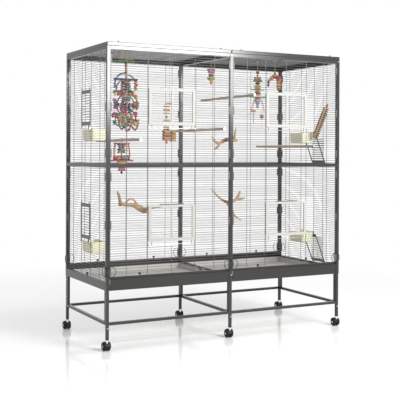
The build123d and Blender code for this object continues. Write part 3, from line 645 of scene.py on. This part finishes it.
for row in ("front", "back"):
    for column in ("left", "middle", "right"):
        key = f"{row}_{column}"
        low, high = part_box(f"caster_wheels_{key}")
        hub = (low + high) / 2
        wheels = bmesh.new()
        for side in (-1, 1):
            middle = hub + Vector((side * WHEEL_OFFSET, 0, 0))
            spun(wheels, [(side * x, r) for x, r in WHEEL_OUTLINE], middle, (1, 0, 0))
            black_faces = set(wheels.faces)
            spun(wheels, [(side * x, r) for x, r in CAP_OUTLINE], middle, (1, 0, 0), 16)
            bright_rest(wheels, black_faces)
        face_out(wheels)
        piece(f"caster_wheels_{key}", wheels, [wheel_tread, chrome], crease=0.6)
        fork = bmesh.new()
        spun(fork, HOOD_OUTLINE, hub, (1, 0, 0), 40, False)
        for spot, away in (((0, 0, HOOD_LOW), (0, 0, -1)),
                           ((0, hub.y + HOOD_BACK, 0), (0, 1, 0))):
            cut_off(fork, fork.verts[:] + fork.edges[:] + fork.faces[:], spot, away)
        face_out(fork)
        bmesh.ops.solidify(fork, geom=fork.faces[:], thickness=HOOD_WALL)
        web = rod(fork, hub, 0, 0.0268, 0.008, 40)
        web_geometry = list(dict.fromkeys(
            x for v in web for x in (v, *v.link_edges, *v.link_faces)))
        cut = cut_off(fork, web_geometry, (0, 0, WEB_LOW), (0, 0, -1))
        bmesh.ops.edgeloop_fill(fork, edges=[g for g in cut if isinstance(g, bmesh.types.BMEdge)])
        black_faces = set(fork.faces)
        spun(fork, NECK_OUTLINE, Vector((hub.x, hub.y + PIN_OFFSET, NECK_TOP)), (0, 0, 1), 28)
        rod(fork, hub, 0, 0.0016, 0.0466, 16)
        bright_rest(fork, black_faces)
        piece(f"caster_fork_{key}", fork, [black_plastic, chrome])

# %% [markdown]
# Knobs and rings are read off the CAD solids: each island gives one middle and one height.
# A knob is spun from a half outline, a ring from a small circle carried round. The knobs on
# the roof are made lower and narrower than the others.

# %% Knobs and rings
KNOB_OUTLINE = [(0.0, 0.0004), (0.0, 0.003), (0.006, 0.003), (0.0068, 0.0062), (0.009, 0.008),
                (0.013, 0.008), (0.0162, 0.0058), (0.0178, 0.0022), (0.018, 0.0004)]
ROOF_LOW = 1.5
ROOF_KNOB = (0.4, 0.6)
RING_RADIUS = 0.029
RING_STOCK = 0.0017


def ring_outline(radius, stock):
    """The round section of a ring, as an outline to spin."""
    return [(stock * math.cos(a), radius + stock * math.sin(a))
            for a in (i * math.pi / 4 for i in range(8))]


knobs = bmesh.new()
for low, high in solid_boxes("thumb_screws"):
    middle = (low + high) / 2
    foot = Vector((middle.x, middle.y, low.z))
    rise, spread = ROOF_KNOB if low.z > ROOF_LOW else (1.0, 1.0)
    spun(knobs, [(rise * z, spread * r) for z, r in KNOB_OUTLINE], foot, (0, 0, 1), 20)
face_out(knobs)
piece("thumb_screws", knobs, [black_plastic])

rings = bmesh.new()
for low, high in solid_boxes("clip_rings"):
    size = high - low
    thin = min(range(3), key=lambda i: size[i])
    axis = Vector([1.0 if i == thin else 0.0 for i in range(3)])
    spun(rings, ring_outline(RING_RADIUS, RING_STOCK), (low + high) / 2, axis, 36)
face_out(rings)
piece("clip_rings", rings, [black_plastic], crease=1.4)

# %% [markdown]
# A dowel is turned wood with the corners of its ends broken. The CAD cylinder has the right
# shape, so a softened copy of it is enough.

# %% Dowels
softened("perches", dowel, 0.0012)

# %% [markdown]
# A natural branch swells at its knots and thins towards the twigs. A ring of vertices is
# extruded from point to point and scaled to each radius, and a subdivision surface rounds
# the bends. The points follow the CAD limbs.

# %% Branches
def limb(shape, points, radii, sides=10):
    """A limb through points in metres, with a ring of its own radius at each."""
    points = [Vector(p) for p in points]
    runs = [(points[min(i + 1, len(points) - 1)] - points[max(i - 1, 0)]).normalized()
            for i in range(len(points))]
    turn = runs[0].to_track_quat("Z", "Y").to_matrix().to_4x4()
    here = Matrix.Translation(points[0]) @ turn @ Matrix.Scale(radii[0], 4)
    ring = bmesh.ops.create_circle(shape, cap_ends=False, segments=sides, radius=1.0, matrix=here)
    start = list(dict.fromkeys(e for v in ring["verts"] for e in v.link_edges))
    edges = start
    for i in range(1, len(points)):
        turn = runs[i - 1].rotation_difference(runs[i]).to_matrix().to_4x4() @ turn
        there = Matrix.Translation(points[i]) @ turn @ Matrix.Scale(radii[i], 4)
        grown = bmesh.ops.extrude_edge_only(shape, edges=edges)["geom"]
        verts = [g for g in grown if isinstance(g, bmesh.types.BMVert)]
        edges = [g for g in grown if isinstance(g, bmesh.types.BMEdge)]
        bmesh.ops.transform(shape, matrix=there @ here.inverted(), verts=verts)
        here = there
    bmesh.ops.edgeloop_fill(shape, edges=start)
    bmesh.ops.edgeloop_fill(shape, edges=edges)


def grown_branch(stub, stub_radii, *twigs):
    """A stub that runs back to its wall or post, and twigs of (x, z, radius) rows in front."""
    limb(branch, stub, stub_radii)
    for rows in twigs:
        limb(branch, [(x, FRONT_Y, z) for x, z, radius in rows],
             [radius for x, z, radius in rows])


FRONT_Y = -0.2825
WALL_Y = -0.3365
POST_Y = -0.3225
branch = bmesh.new()
grown_branch([(-0.695, WALL_Y, 0.812), (-0.695, -0.31, 0.812), (-0.695, FRONT_Y, 0.812)],
             (0.011, 0.011, 0.012),
             ((-0.707, 0.889, 0.004), (-0.703, 0.874, 0.0065), (-0.694, 0.856, 0.009),
              (-0.692, 0.836, 0.0085), (-0.688, 0.815, 0.014), (-0.668, 0.808, 0.012),
              (-0.640, 0.806, 0.0105), (-0.612, 0.806, 0.0115), (-0.590, 0.798, 0.0165),
              (-0.568, 0.786, 0.0205), (-0.545, 0.774, 0.0185), (-0.520, 0.764, 0.009)),
             ((-0.545, 0.776, 0.013), (-0.515, 0.785, 0.009), (-0.49, 0.789, 0.0075),
              (-0.462, 0.790, 0.008), (-0.441, 0.793, 0.0065), (-0.41, 0.794, 0.005),
              (-0.392, 0.797, 0.0025)),
             ((-0.664, 0.811, 0.007), (-0.645, 0.829, 0.006), (-0.628, 0.845, 0.0065),
              (-0.606, 0.839, 0.006), (-0.59, 0.815, 0.006), (-0.572, 0.792, 0.008)))
grown_branch([(0.0, POST_Y, 0.805), (0.0, -0.3, 0.806), (0.0, FRONT_Y, 0.808)],
             (0.008, 0.009, 0.0115),
             ((-0.104, 0.895, 0.0028), (-0.084, 0.868, 0.0045), (-0.062, 0.846, 0.006),
              (-0.036, 0.826, 0.007), (-0.012, 0.812, 0.0085), (0.014, 0.808, 0.0095),
              (0.04, 0.812, 0.0095), (0.066, 0.82, 0.0085), (0.092, 0.826, 0.0085),
              (0.118, 0.828, 0.006), (0.138, 0.83, 0.003)),
             ((0.06, 0.818, 0.008), (0.074, 0.83, 0.0082), (0.085, 0.844, 0.0092),
              (0.092, 0.86, 0.0075), (0.097, 0.874, 0.004)),
             ((0.002, 0.808, 0.01), (0.022, 0.786, 0.0095), (0.04, 0.762, 0.0085),
              (0.046, 0.742, 0.0072), (0.054, 0.724, 0.007), (0.08, 0.708, 0.0048),
              (0.108, 0.694, 0.0028)))
grown_branch([(0.0, POST_Y, 1.184), (0.0, -0.3, 1.184), (0.0, FRONT_Y, 1.184)],
             (0.008, 0.009, 0.0115),
             ((-0.1, 1.207, 0.003), (-0.095, 1.192, 0.005), (-0.088, 1.178, 0.006),
              (-0.072, 1.167, 0.0085), (-0.052, 1.161, 0.009), (-0.03, 1.17, 0.0105),
              (-0.008, 1.184, 0.0135), (0.018, 1.186, 0.0115), (0.044, 1.179, 0.009),
              (0.062, 1.181, 0.0115), (0.078, 1.184, 0.008)),
             ((-0.04, 1.168, 0.008), (-0.053, 1.153, 0.008), (-0.062, 1.138, 0.0075),
              (-0.075, 1.129, 0.0055), (-0.087, 1.12, 0.0028)),
             ((0.052, 1.18, 0.008), (0.056, 1.2, 0.0075), (0.058, 1.218, 0.007),
              (0.062, 1.242, 0.005), (0.066, 1.264, 0.0025)))
face_out(branch)
branches = piece("branches", branch, [branch_bark], crease=1.5)
rounded = branches.modifiers.new("round", "SUBSURF")
rounded.levels = rounded.render_levels = 1

# %% [markdown]
# The foraging roll is plaited grass: two sets of flat strips that cross aslant. Its surface
# is a plain roll, and the plait is a pattern on its own UV map, so that it follows the roll.
# Where a strip of one set passes over, the other set dips, which a checker decides. The dips
# are painted dark as painted shade, and a bump lowers them.

# %% Plaited roll
plait, plait_in, plait_out = new_group("plait", [
    ("Vector", VECTOR, (0, 0, 0)), ("Light", COLOUR, (0.62, 0.47, 0.28, 1)),
    # Dark is painted shade, for the dips between the strips.
    ("Dark", COLOUR, (0.1, 0.055, 0.025, 1)), ("Depth", FLOAT, 0.002),
])
checks = add(plait, "TexChecker", {
    "Vector": (plait_in, "Vector"), "Scale": 1.0, "Color1": (1, 1, 1, 1),
    "Color2": (0, 0, 0, 1)})
straw = add(plait, "TexNoise", {
    "Vector": (plait_in, "Vector"), "Scale": 2.2, "Detail": 4.0})
blend = add(plait, "Mix", {0: 0.45, 6: (checks, "Color"), 7: (straw, "Color")},
            data_type="RGBA")
height = add(plait, "MapRange", {
    "Value": (blend, 2), "From Min": 0.3, "From Max": 0.62})
# The dips take Dark as painted shade. The straw noise gives the strips their own uneven tone.
straw_and_dip_shade = add(plait, "Mix", {
    0: (height, "Result"), 6: (plait_in, "Dark"), 7: (plait_in, "Light")}, data_type="RGBA")
humps = add(plait, "Bump", {
    "Height": (height, "Result"), "Distance": (plait_in, "Depth"), "Strength": 0.8})
matt = add(plait, "MapRange", {
    "Value": (straw, "Fac"), "To Min": 0.65, "To Max": 0.85})
feed(plait_out, {
    "Color": (straw_and_dip_shade, 2), "Roughness": (matt, "Result"), "Normal": (humps, "Normal")})

grass, grass_effect = fronted("plaited_grass", plait, {})
grass_uv = add(grass.node_tree, "UVMap", uv_map="around")
grass_turn = add(grass.node_tree, "Mapping", {
    "Vector": (grass_uv, "UV"), "Scale": (7, 11, 1), "Rotation": (0, 0, 0.785)})
feed(grass_effect, {"Vector": (grass_turn, "Vector")})

source = cad_copy("woven_tube")
roll_verts = max(islands(source), key=len)
roll_low, roll_high = box_of(roll_verts)
source.free()
roll_x = (roll_low.x + roll_high.x) / 2
foot_point = Vector((roll_x, -0.118, 1.206))
head_point = Vector((roll_x, -0.244, 1.402))
ahead = head_point - foot_point
roll = bmesh.new()
shares = (0.0, 0.02, 0.08, 0.2, 0.35, 0.5, 0.65, 0.8, 0.92, 0.98, 1.0)
widths = (0.014, 0.0185, 0.0198, 0.0192, 0.0199, 0.019, 0.0196, 0.0185, 0.0178, 0.0165, 0.013)
limb(roll, [foot_point + ahead * s for s in shares], widths, 20)
uv_layer = roll.loops.layers.uv.new("around")
up = ahead.normalized()
side_way = Vector((1, 0, 0))
third = up.cross(side_way)


def angle_round(point):
    offset = point - foot_point
    return math.atan2(offset.dot(third), offset.dot(side_way))


for face in roll.faces:
    home = angle_round(face.calc_center_median())
    for loop in face.loops:
        turn = angle_round(loop.vert.co) - home
        turn = (turn + math.pi) % (2 * math.pi) - math.pi
        share = (loop.vert.co - foot_point).dot(up) / ahead.length
        loop[uv_layer].uv = ((home + turn) / (2 * math.pi), share * 2.0)
body_faces = set(roll.faces)
knot = [head_point + up * rise for rise in (0, 0.008, 0.018, 0.0235)]
limb(roll, knot, (0.004, 0.0055, 0.0055, 0.003), 12)
for face in roll.faces:
    face.material_index = 0 if face in body_faces else 1
face_out(roll)
piece("woven_tube", roll, [grass, dyed["magenta"]], crease=1.2)

# %% [markdown]
# A toy is a string of wooden pieces. Its CAD solids come in the order in which they were
# strung, so a list of shapes and dyes in that order dresses them. A bar is a slat with
# broken edges, a stick is a dowel laid across, a bead is a ball, and a cluster is a heap of
# slats and beads that fills its solid, each slat a little turned, as on the real toy.

# %% Toy pieces
dye_names = list(dyes)
toy_materials = [dyed[name] for name in dye_names] + [rope, chrome]
STRING = len(dye_names)
LINK = STRING + 1


def join(shape, part, index):
    """Adds a finished small part to a toy, in one material."""
    for face in part.faces:
        face.material_index = index
    pour(part, shape)


def slat(shape, middle, size, turn, index, edge=0.0012, tilt=0.0):
    part = bmesh.new()
    place = Matrix.Translation(middle) @ Matrix.Rotation(tilt, 4, "Y")
    place = place @ Matrix.Rotation(turn, 4, "Z")
    bmesh.ops.create_cube(part, size=1.0, matrix=place @ Matrix.Diagonal((*size, 1)))
    round_edges(part, part.edges[:], min(edge, min(size) * 0.3))
    join(shape, part, index)


def stick(shape, middle, size, axis, index):
    part = bmesh.new()
    radius = min(size[i] for i in range(3) if i != axis) / 2
    rod(part, middle, axis, radius, size[axis], 14)
    rims = [e for e in part.edges if e.calc_face_angle(0) > 1.0]
    round_edges(part, rims, min(0.0014, radius * 0.3))
    join(shape, part, index)


def bead(shape, middle, size, index):
    part = bmesh.new()
    place = Matrix.Translation(middle) @ Matrix.Diagonal((*[s / 2 for s in size], 1))
    bmesh.ops.create_uvsphere(part, u_segments=12, v_segments=8, radius=1.0, matrix=place)
    join(shape, part, index)


def disc(shape, middle, size, index, foot=1.0):
    part = bmesh.new()
    place = Matrix.Translation(middle) @ Matrix.Diagonal((size[0] / 2, size[1] / 2, size[2], 1))
    bmesh.ops.create_cone(part, cap_ends=True, segments=24, radius1=foot, radius2=1, depth=1,
                          matrix=place)
    join(shape, part, index)


def ring(shape, middle, axis, radius, stock):
    part = bmesh.new()
    spun(part, ring_outline(radius, stock), middle, axis, 24)
    join(shape, part, LINK)


ROW_HEIGHT = 0.0085
COLUMN_WIDTH = 0.024
BEAD_SHARE = 0.35


def cluster(shape, low, high, indices, chance):
    """Slats and beads heaped into a solid's box, row upon row and two deep."""
    size = high - low
    rows = max(2, round(size.z / ROW_HEIGHT))
    pitch = size.z / rows
    for row in range(rows):
        across = max(1, round(size.x / COLUMN_WIDTH))
        width = size.x / across
        for i in range(across):
            for layer in (-1, 1):
                middle = Vector((low.x + width * (i + 0.5) + chance.uniform(-0.15, 0.15) * width,
                                 (low.y + high.y) / 2 + layer * size.y * 0.24,
                                 low.z + pitch * (row + 0.5)))
                index = chance.choice(indices)
                draw = chance.random()
                if draw < BEAD_SHARE:
                    thick = min(width, 0.015)
                    bead(shape, middle, (thick, size.y * 0.45, min(thick, pitch * 1.3)), index)
                else:
                    slat(shape, middle, (width * chance.uniform(0.75, 1.15), size.y * 0.42,
                                         pitch * 0.8), chance.uniform(-0.3, 0.3), index, 0.0009,
                         chance.uniform(-0.22, 0.22))


def garland(shape, points, radius, indices):
    """Beads threaded along a curve of three points."""
    start, middle, end = points
    length = (middle - start).length + (end - middle).length
    count = max(3, round(length / (radius * 2.1)))
    for i in range(count + 1):
        t = i / count
        spot = start * (1 - t) ** 2 + middle * 2 * t * (1 - t) + end * t ** 2
        bead(shape, spot, (radius * 2, radius * 2, radius * 2), indices[i % len(indices)])


def dress(name, seed, looks, garland_y=0.0, garlands=()):
    """Builds a toy on its CAD solids. looks names one look for each solid, in order. A
    garland is three (x, z) points, the radius of its beads and their dyes."""
    chance = random.Random(seed)
    boxes = solid_boxes(name)
    looks = looks.split(", ")
    print(name, len(boxes), "solids,", len(looks), "looks")
    toy = bmesh.new()
    for (low, high), look in zip(boxes, looks):
        kind, *tints = look.split()
        indices = [dye_names.index(t) for t in tints]
        count = len(indices)
        middle = (low + high) / 2
        x, y = middle.xy
        size = high - low
        if kind == "hook":
            ring(toy, Vector((x, y, high.z - 0.0049)), (1, 0, 0), 0.0038, 0.0009)
            stick(toy, Vector((x, y, (low.z + high.z - 0.0095) / 2)),
                  (0.0018, 0.0018, high.z - 0.0085 - low.z), 2, LINK)
        elif kind == "loop":
            ring(toy, Vector((x, y, high.z - 0.0119)), (0, 1, 0), 0.0105, 0.0014)
        elif kind == "string":
            stick(toy, middle, size, 2, STRING)
        elif kind == "yoke":
            slat(toy, Vector((x, y, high.z - 0.006)), (size.x, size.y, 0.012), 0.0, indices[0],
                 0.002)
            cluster(toy, Vector((high.x - 0.018, low.y, low.z)),
                    Vector((high.x, high.y, high.z - 0.012)), indices[1:], chance)
        elif kind == "bar":
            slat(toy, middle, size, 0.0, indices[0], 0.002)
        elif kind == "stick":
            stick(toy, middle, size, 0, indices[0])
        elif kind == "bead":
            bead(toy, middle, size, indices[0])
        elif kind in ("stack", "beads", "discs"):
            for i, index in enumerate(indices):
                spot = Vector((x, y, high.z - size.z * (i + 0.5) / count))
                if kind == "stack":
                    width = size.x * (1.0 if i % 2 == 0 else 0.86)
                    slat(toy, spot, (width, size.y, size.z / count * 0.94), 0.0, index)
                elif kind == "beads":
                    bead(toy, spot, (size.x, size.y, size.z / count), index)
                else:
                    disc(toy, spot, (size.x, size.y, size.z / count * 0.92), index)
        elif kind == "cone":
            disc(toy, middle, size, indices[0], 0.35)
        elif kind == "cluster":
            cluster(toy, low, high, indices, chance)
    for *pairs, radius, tints in garlands:
        points = [Vector((x, garland_y, z)) for x, z in pairs]
        garland(toy, points, radius, [dye_names.index(t) for t in tints.split()])
    face_out(toy)
    piece(name, toy, toy_materials)


# %% [markdown]
# The looks follow the photograph from the top of each toy to its foot.

# %% Dress the toys
dress("toy_block_tower", 3, (
    "hook, string, bar olive, string, bar green, beads navy red, beads orange olive, "
    "beads red navy yellow, beads orange green, yoke navy orange yellow green red, "
    "cluster navy yellow orange green navy purple, "
    "cluster magenta olive navy orange magenta, cluster teal red navy teal white, "
    "cluster orange red green navy magenta, cluster magenta navy purple teal red, "
    "cluster yellow orange red olive white teal, cluster green black orange white yellow, "
    "string, cluster navy blue, string, cluster orange yellow navy, string, "
    "cluster magenta purple navy, string, cluster red magenta navy, string, "
    "cluster teal navy, string, cluster orange yellow tan, string, cluster tan salmon brown, "
    "string, cluster red magenta navy, string, cluster yellow tan orange red"
), garland_y=-0.074, garlands=[
    ((-0.571, 1.575), (-0.64, 1.57), (-0.641, 1.5), 0.0055, "navy navy blue navy purple"),
    ((-0.571, 1.565), (-0.515, 1.565), (-0.507, 1.515), 0.0055, "orange yellow green red"),
    ((-0.6, 1.535), (-0.66, 1.47), (-0.6, 1.44), 0.005, "orange yellow magenta navy"),
    ((-0.54, 1.45), (-0.475, 1.42), (-0.5, 1.36), 0.005, "tan salmon brown tan"),
    ((-0.545, 1.44), (-0.49, 1.39), (-0.54, 1.34), 0.005, "pink tan salmon"),
    ((-0.6, 1.44), (-0.65, 1.39), (-0.605, 1.33), 0.005, "magenta navy purple red"),
    ((-0.55, 1.37), (-0.48, 1.32), (-0.52, 1.27), 0.005, "magenta red magenta navy"),
    ((-0.6, 1.34), (-0.66, 1.3), (-0.62, 1.262), 0.005, "teal navy white red"),
    ((-0.59, 1.3), (-0.57, 1.25), (-0.545, 1.3), 0.005, "white black green white"),
    ((-0.62, 1.31), (-0.6, 1.2), (-0.575, 1.27), 0.006, "navy white black teal green"),
    ((-0.58, 1.27), (-0.56, 1.19), (-0.53, 1.28), 0.006, "magenta red navy white"),
    ((-0.54, 1.28), (-0.505, 1.2), (-0.49, 1.28), 0.006, "orange magenta yellow navy"),
    ((-0.61, 1.46), (-0.57, 1.5), (-0.53, 1.46), 0.006, "red navy yellow magenta"),
    ((-0.54, 1.29), (-0.5, 1.25), (-0.485, 1.28), 0.006, "yellow orange yellow tan"),
])
dress("toy_block_drop", 5, (
    "loop, bar red, cluster teal teal orange red teal, bead orange, "
    "cluster purple orange teal red green orange, stick magenta, bar olive, string, "
    "cluster magenta magenta red, bead black, string, string"
), garland_y=-0.062, garlands=[
    ((-0.63, 1.156), (-0.645, 1.12), (-0.635, 1.085), 0.0045, "red brown red orange"),
    ((-0.55, 1.156), (-0.535, 1.12), (-0.54, 1.085), 0.0045, "magenta red magenta purple"),
])
dress("toy_wood_stack", 7, (
    "hook, string, stick tan, string, stick tan, string, stick orange, string, stick tan, "
    "string, bead red, string, stick tan, string, stack white green, cluster tan tan orange, "
    "stack tan orange tan brown tan orange, bead orange, string, bead olive, string, "
    "bead tan, string, bead olive, string, bead tan, string, stack tan olive tan orange tan"
))
dress("toy_disc_stack", 11, (
    "hook, string, bead orange, discs blue pink red, discs white magenta, string, "
    "discs brown salmon brown, string, discs green olive, cone yellow, bead orange, string"
))
dress("toy_stick_mobile", 13, (
    "hook, string, bead red, bead lime, cluster tan salmon, stick green, bead red, "
    "beads tan olive, stick green, beads salmon red tan, string, stick green, "
    "discs red salmon, cone blue, bead olive, string, discs salmon, string, string, "
    "bead tan, string"
), garland_y=0.08, garlands=[
    ((0.425, 1.47), (0.4, 1.42), (0.385, 1.36), 0.003, "brown salmon tan"),
    ((0.455, 1.47), (0.49, 1.44), (0.492, 1.38), 0.003, "salmon pink tan"),
    ((0.411, 1.375), (0.408, 1.34), (0.412, 1.305), 0.003, "salmon tan"),
])
dress("toy_bead_arch", 17, (
    "hook, string, beads green yellow red, cluster green red yellow, cluster orange white, "
    "beads white purple, bead navy, cluster red magenta yellow, "
    "cluster yellow orange green red"
), garland_y=-0.032, garlands=[
    ((0.454, 1.545), (0.468, 1.625), (0.504, 1.6), 0.0075, "purple white navy white orange brown"),
    ((0.504, 1.6), (0.54, 1.63), (0.548, 1.55), 0.008, "yellow brown orange red yellow brown"),
    ((0.518, 1.6), (0.53, 1.56), (0.528, 1.52), 0.006, "green yellow brown orange"),
])

# %% [markdown]
# The stage is a white floor with a faint gloss, which keeps the soft shadow under the cage
# and a weak reflection of the legs. It fades out with distance, so that no horizon shows
# against the white of the world.

# %% Floor
floor_mesh = bmesh.new()
bmesh.ops.create_grid(floor_mesh, x_segments=1, y_segments=1, size=9.0)
floor_data = bpy.data.meshes.new("floor")
floor_mesh.to_mesh(floor_data)
floor_mesh.free()
floor = placed("floor", floor_data)
floor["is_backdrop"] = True
floor_paint, floor_shader = principled(
    "floor_paint", Base_Color=(0.93, 0.93, 0.93, 1), Roughness=0.12, Specular_IOR_Level=0.35,
    Emission_Color=(1, 1, 1, 1), Emission_Strength=0.04)
floor_tree = floor_paint.node_tree
spot = add(floor_tree, "TexCoord")
reach = add(floor_tree, "VectorMath", {0: (spot, "Object")}, operation="LENGTH")
fade = add(floor_tree, "MapRange", {
    "Value": (reach, "Value"), "From Min": 1.3, "From Max": 3.2}, clamp=True)
clear = add(floor_tree, "BsdfTransparent")
mixed = add(floor_tree, "MixShader", {
    0: (fade, "Result"), 1: (floor_shader, "BSDF"), 2: (clear, "BSDF")})
feed(floor_tree.nodes["Material Output"], {"Surface": (mixed, "Shader")})
floor_data.materials.append(floor_paint)

# %% [markdown]
# The world is white to the camera and in reflections, and weaker as a light. A large soft
# lamp stands in front, a little right of the middle, and is what the left half of the roof
# frame mirrors. Its diffuse share is kept low, so that it whitens the coat and not the toys.
# Two weaker lamps fill from the left and from above.

# %% World and lamps
world = bpy.data.worlds.new("studio")
bpy.context.scene.world = world
world.use_nodes = True
world_tree = world.node_tree
world_tree.nodes.clear()
rays = add(world_tree, "LightPath")
through = add(world_tree, "Math", {
    0: (rays, "Is Camera Ray"), 1: (rays, "Is Transmission Ray")}, operation="MAXIMUM")
seen = add(world_tree, "Math", {0: (through, 0), 1: (rays, "Is Glossy Ray")},
           operation="MAXIMUM")
plain = add(world_tree, "Background", {"Color": (1, 1, 1, 1), "Strength": 0.55})
white = add(world_tree, "Background", {"Color": (1, 1, 1, 1), "Strength": 1.0})
choose = add(world_tree, "MixShader", {0: (seen, 0), 1: (plain, 0), 2: (white, 0)})
add(world_tree, "OutputWorld", {0: (choose, 0)})


def lamp(name, place, target, size, power):
    data = bpy.data.lights.new(name, "AREA")
    data.shape = "RECTANGLE"
    data.size, data.size_y = size
    data.energy = power
    made = placed(name, data)
    made.location = place
    made.rotation_euler = (Vector(target) - Vector(place)).to_track_quat("-Z", "Y").to_euler()
    return data


softbox = lamp("front_softbox", (1.0, -3.45, 2.1), (0.0, -0.34, 1.55), (1.5, 1.15), 180)
softbox.diffuse_factor = 0.15
lamp("left_fill", (-3.2, -1.0, 2.2), (0.0, 0.0, 1.0), (2.0, 2.0), 8)
lamp("top_fill", (0.0, 0.3, 3.6), (0.0, 0.0, 1.0), (3.0, 2.0), 34)

# %% [markdown]
# The last cell measures the visual box and prints it.

# %% Sizes, and the last line
low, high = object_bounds()
print("visual box", [round(v, 4) for v in (*low, *high)])
